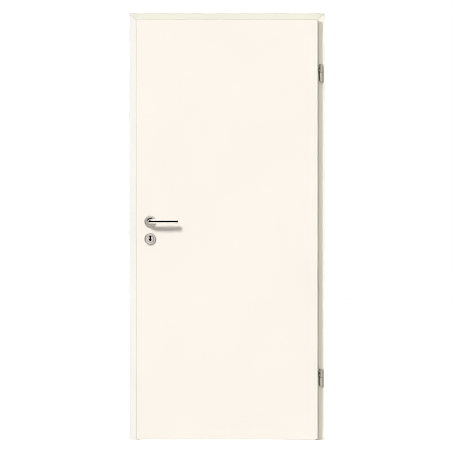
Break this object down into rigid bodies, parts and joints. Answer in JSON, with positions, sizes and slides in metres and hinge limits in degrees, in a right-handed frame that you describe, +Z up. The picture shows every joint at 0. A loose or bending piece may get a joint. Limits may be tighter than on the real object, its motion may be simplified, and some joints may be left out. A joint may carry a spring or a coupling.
{
  "type": "interior door with lining frame",
  "caption": "Flush rebated interior door in a mitred lining frame, hung on barrel hinges, with a round bar lever on roses and a separate keyhole rose.",
  "frame": {"origin": "on the outer face of the hinge-side lining, at the finished floor, halfway through the wall", "axes": "+X out of the hinge-side lining into the wall beside it, so the door lies at negative X; +Y through the wall, away from the side the leaf opens to; +Z up"},
  "size_m": [0.926, 0.256, 2.025],
  "materials": {
    "leaf_laminate": "satin warm white foil on fibreboard",
    "frame_laminate": "satin warm white foil on fibreboard",
    "edge_timber": "satin warm white edging",
    "core_board": "raw chipboard",
    "gasket": "matt",
    "satin_steel": "satin",
    "polished_grip": "polished",
    "hinge_nickel": "satin",
    "zinc_plate": "zinc plated",
    "nylon": "matt"
  },
  "bodies": {
    "frame": {"lining_lock": "frame_laminate", "lining_hinge": "frame_laminate", "lining_head": "frame_laminate", "casing_front_lock": "frame_laminate", "casing_front_hinge": "frame_laminate", "casing_front_head": "frame_laminate", "casing_rear_lock": "frame_laminate", "casing_rear_hinge": "frame_laminate", "casing_rear_head": "frame_laminate", "seal_lock": "gasket", "seal_hinge": "gasket", "seal_head": "gasket", "strike_plate": "zinc_plate", "hinge_upper_frame_part": "hinge_nickel", "hinge_lower_frame_part": "hinge_nickel", "hinge_upper_pin": "satin_steel", "hinge_lower_pin": "satin_steel", "hinge_upper_washer": "nylon", "hinge_lower_washer": "nylon"},
    "leaf": {"leaf_skin_front": "leaf_laminate", "leaf_skin_rear": "leaf_laminate", "leaf_stile_lock": "edge_timber", "leaf_stile_hinge": "edge_timber", "leaf_rail_top": "edge_timber", "leaf_rail_bottom": "edge_timber", "leaf_lap_lock": "edge_timber", "leaf_lap_hinge": "edge_timber", "leaf_lap_head": "edge_timber", "leaf_core": "core_board", "lock_case": "zinc_plate", "lock_faceplate": "satin_steel", "latch_bolt": "satin_steel", "dead_bolt": "satin_steel", "handle_rose_front": "satin_steel", "handle_rose_rear": "satin_steel", "key_rose_front": "satin_steel", "key_rose_rear": "satin_steel", "hinge_upper_leaf_part": "hinge_nickel", "hinge_lower_leaf_part": "hinge_nickel"},
    "handle": {"lever_front": "polished_grip", "lever_rear": "polished_grip", "spindle": "zinc_plate"}
  },
  "joints": [
    {"name": "leaf_swing", "type": "hinge", "parent": "frame", "child": "leaf", "pos_m": [0.0195, -0.101, 1.019], "axis": [0, 0, 1], "range_deg": [0, 170]},
    {"name": "handle_turn", "type": "hinge", "parent": "leaf", "child": "handle", "pos_m": [-0.7895, -0.0815, 1.036], "axis": [0, 1, 0], "range_deg": [0, 40], "stiffness_Nm_per_rad": 2.5, "springref_deg": -22.92}
  ]
}
